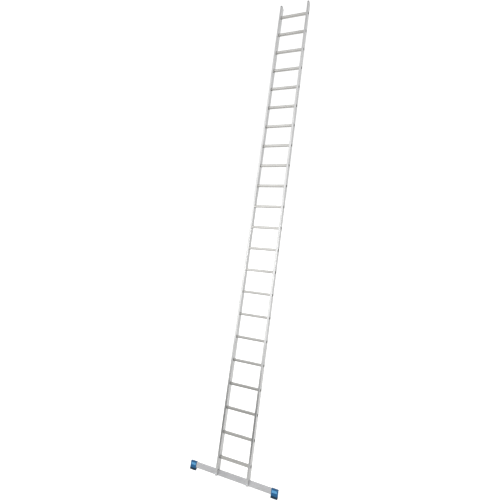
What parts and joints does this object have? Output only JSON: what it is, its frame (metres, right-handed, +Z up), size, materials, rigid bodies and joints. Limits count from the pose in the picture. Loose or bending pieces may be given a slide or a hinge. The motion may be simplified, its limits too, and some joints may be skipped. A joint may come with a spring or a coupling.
{
  "type": "leaning ladder",
  "caption": "Single-section aluminium leaning ladder with box stiles, square rungs and a wide crossbar foot with blue end caps.",
  "frame": {"origin": "on the floor, on the line where the two soles stand, midway between them", "axes": "+X along the rungs, towards the right stile as the climber sees it; +Y horizontal, the way the ladder leans, towards the wall; +Z up. The stiles lean back 20 degrees from +Z towards +Y."},
  "size_m": [1.1, 2.2102, 5.9042],
  "materials": {
    "stile_aluminium": "extruded, mill finish",
    "rung_aluminium": "extruded and grooved, mill finish",
    "crossbar_aluminium": "extruded, mill finish",
    "cap_plastic": "moulded, semi-gloss",
    "sole_rubber": "moulded soft sole, matt",
    "plug_plastic": "moulded, fine grain",
    "insert_plastic": "moulded, matt",
    "zinc_steel": "zinc plated"
  },
  "bodies": {
    "root": {"left_stile": "stile_aluminium", "right_stile": "stile_aluminium", "rung_01": "rung_aluminium", "rung_02": "rung_aluminium", "rung_03": "rung_aluminium", "rung_04": "rung_aluminium", "rung_05": "rung_aluminium", "rung_06": "rung_aluminium", "rung_07": "rung_aluminium", "rung_08": "rung_aluminium", "rung_09": "rung_aluminium", "rung_10": "rung_aluminium", "rung_11": "rung_aluminium", "rung_12": "rung_aluminium", "rung_13": "rung_aluminium", "rung_14": "rung_aluminium", "rung_15": "rung_aluminium", "rung_16": "rung_aluminium", "rung_17": "rung_aluminium", "rung_18": "rung_aluminium", "rung_19": "rung_aluminium", "rung_20": "rung_aluminium", "rung_21": "rung_aluminium", "rung_22": "rung_aluminium", "left_top_plug": "plug_plastic", "right_top_plug": "plug_plastic", "left_foot_insert": "insert_plastic", "right_foot_insert": "insert_plastic", "crossbar": "crossbar_aluminium", "left_end_cap": "cap_plastic", "right_end_cap": "cap_plastic", "left_sole": "sole_rubber", "right_sole": "sole_rubber", "crossbar_bolts": "zinc_steel", "crossbar_washers": "zinc_steel", "crossbar_nuts": "zinc_steel", "crossbar_sleeves": "zinc_steel", "cap_screws": "zinc_steel"}
  },
  "joints": []
}
